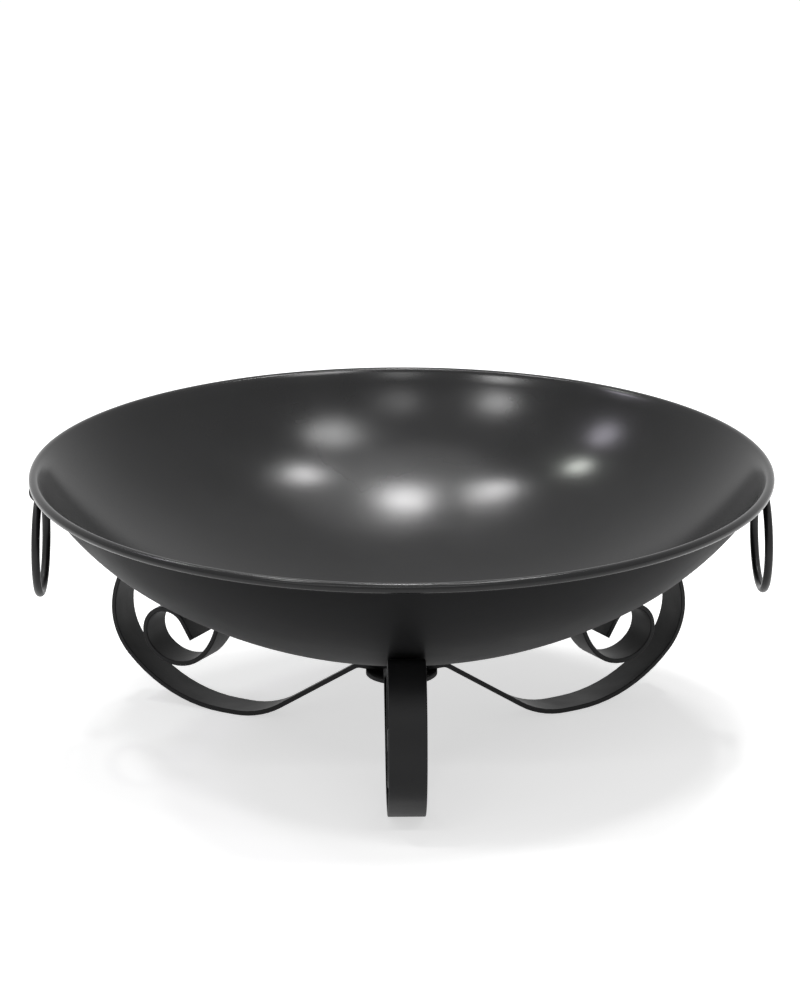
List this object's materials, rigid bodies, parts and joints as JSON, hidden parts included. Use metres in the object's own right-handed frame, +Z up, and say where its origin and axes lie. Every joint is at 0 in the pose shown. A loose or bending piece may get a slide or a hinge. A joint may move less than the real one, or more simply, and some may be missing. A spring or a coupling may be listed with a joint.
{
  "type": "fire pit bowl",
  "caption": "Wide shallow black steel fire bowl with a rolled rim and hanging ring handles, standing on a stand of curled flat-bar scroll legs",
  "frame": {"origin": "on the floor, on the bowl's axis", "axes": "+Z up along the bowl's axis; -Y is the front, where one leg points; the ring handles are at +X and -X"},
  "size_m": [0.6004, 0.5998, 0.2299],
  "materials": {
    "black_steel": "satin black heat-resistant powder coat",
    "fasteners": "black coated steel fasteners"
  },
  "bodies": {
    "stand": {"leg_front": "black_steel", "leg_left": "black_steel", "leg_right": "black_steel", "hub_plate": "black_steel", "hub_bolts": "fasteners", "hub_washers": "fasteners", "hub_nuts": "fasteners"},
    "bowl": {"bowl_shell": "black_steel", "rim_wire": "black_steel", "ring_eye_left": "black_steel", "ring_eye_right": "black_steel"},
    "handle_right": {"ring_right": "black_steel"},
    "handle_left": {"ring_left": "black_steel"}
  },
  "joints": [
    {"name": "bowl_lift", "type": "slide", "parent": "stand", "child": "bowl", "axis": [0, 0, 1], "range_m": [0, 0.2]},
    {"name": "handle_right_swing", "type": "hinge", "parent": "bowl", "child": "handle_right", "pos_m": [0.291, 0, 0.2125], "axis": [0.0698, -0.9976, 0], "range_deg": [-20, 115]},
    {"name": "handle_left_swing", "type": "hinge", "parent": "bowl", "child": "handle_left", "pos_m": [-0.291, 0, 0.2125], "axis": [0.0698, 0.9976, 0], "range_deg": [-20, 115]}
  ]
}
